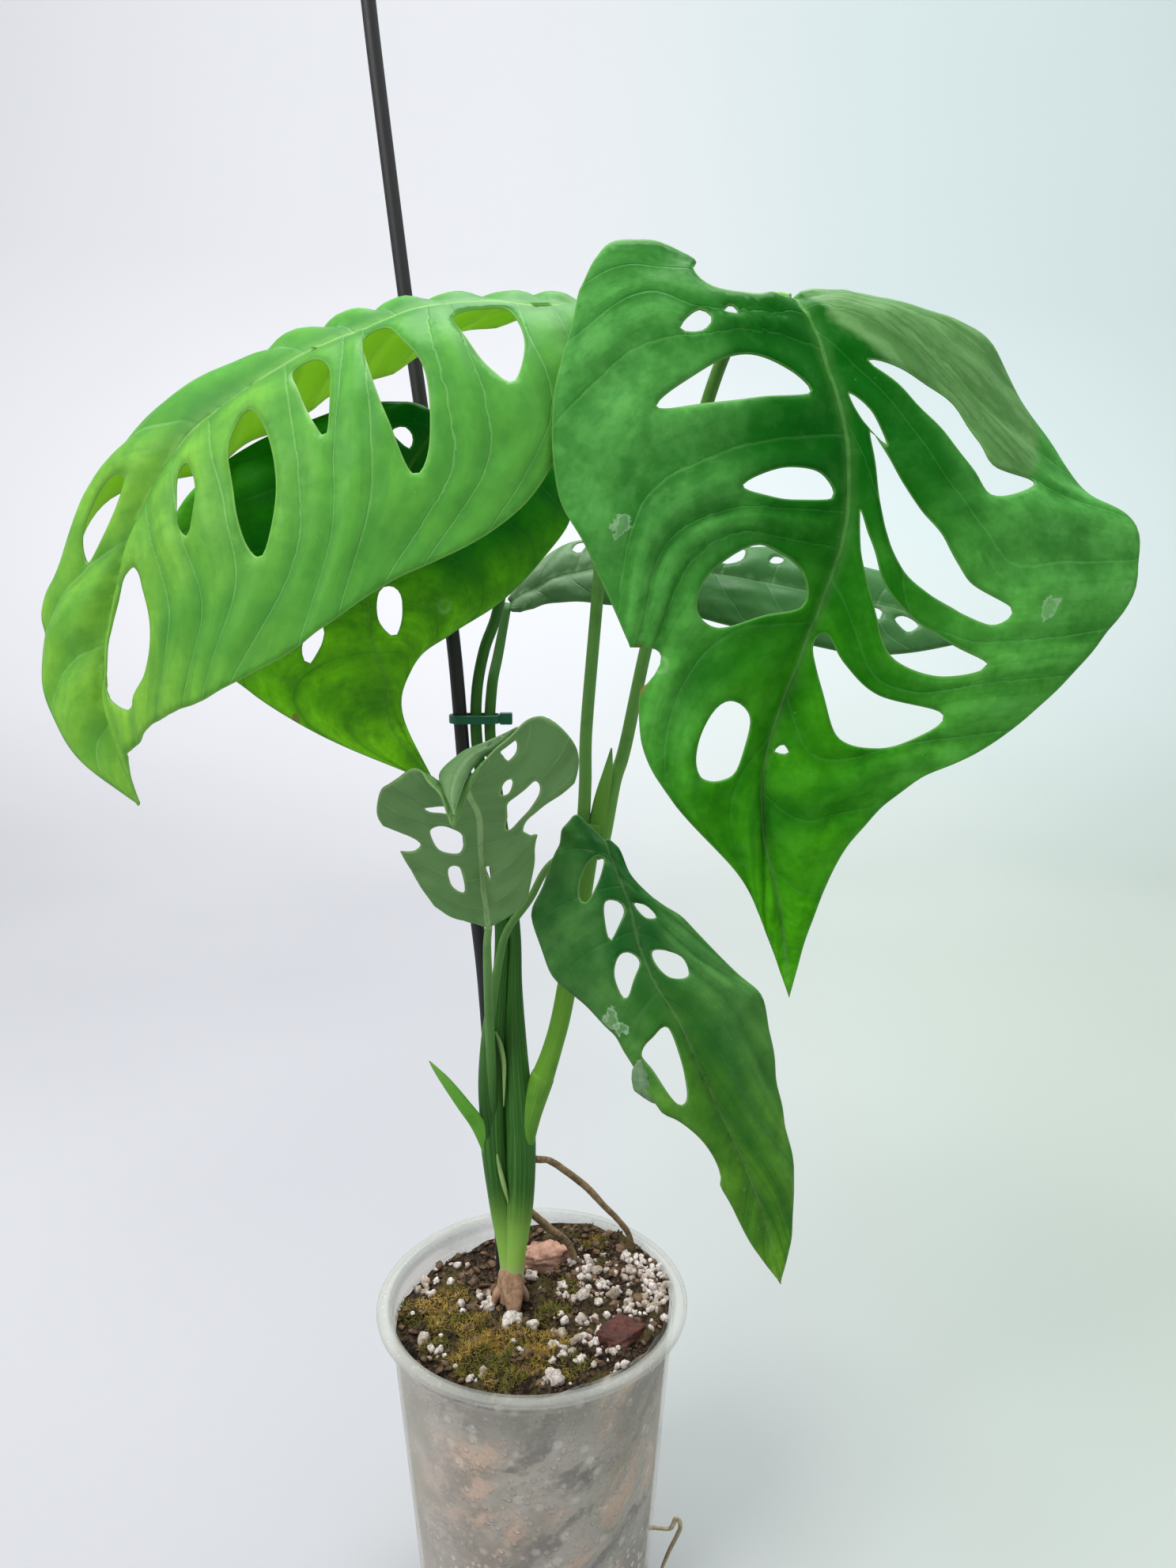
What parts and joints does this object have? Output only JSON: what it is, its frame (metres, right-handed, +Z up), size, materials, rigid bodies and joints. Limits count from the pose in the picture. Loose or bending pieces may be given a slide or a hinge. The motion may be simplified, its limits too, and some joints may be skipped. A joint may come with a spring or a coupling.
{
  "type": "potted monstera plant",
  "caption": "Climbing monstera with pierced heart-shaped leaves on long petioles, tied to a stake in a translucent tapered nursery pot filled with bark and perlite mix.",
  "frame": {"origin": "centre of the pot's flat underside", "axes": "+Z up along the pot's axis, -Y towards the plant's front, +X to the right seen from the front"},
  "size_m": [0.3331, 0.183, 0.6202],
  "materials": {
    "clear_plastic": "frosted translucent",
    "mix": "crumbly, matt",
    "bark_tan": "rough",
    "bark_dark": "rough, damp",
    "stem": "satin, living",
    "petiole": "satin, living",
    "leaf_bright": "satin leaf, paler veins and margin",
    "leaf_deep": "satin leaf, paler veins and margin",
    "leaf_shaded": "satin leaf, paler veins and margin",
    "leaf_young": "matt leaf underside, pale midrib",
    "leaf_blue": "satin leaf, paler veins and margin",
    "leaf_grey": "matt leaf, paler veins and margin",
    "root": "matt",
    "root_pale": "matt",
    "stake": "smooth coating",
    "tie": "satin"
  },
  "bodies": {
    "root": {"pot": "clear_plastic", "potting_mix": "mix", "bark_tan": "bark_tan", "bark_dark": "bark_dark", "stem": "stem", "petiole_arching": "petiole", "petiole_hanging": "petiole", "petiole_drooping": "petiole", "petiole_back": "petiole", "petiole_small": "petiole", "petiole_low": "petiole", "leaf_arching": "leaf_bright", "leaf_hanging": "leaf_deep", "leaf_drooping": "leaf_shaded", "leaf_small": "leaf_young", "leaf_low": "leaf_blue", "leaf_back": "leaf_grey", "aerial_root_long": "root", "aerial_root_short": "root", "drain_root": "root_pale", "stake": "stake", "plant_tie": "tie"}
  },
  "joints": []
}
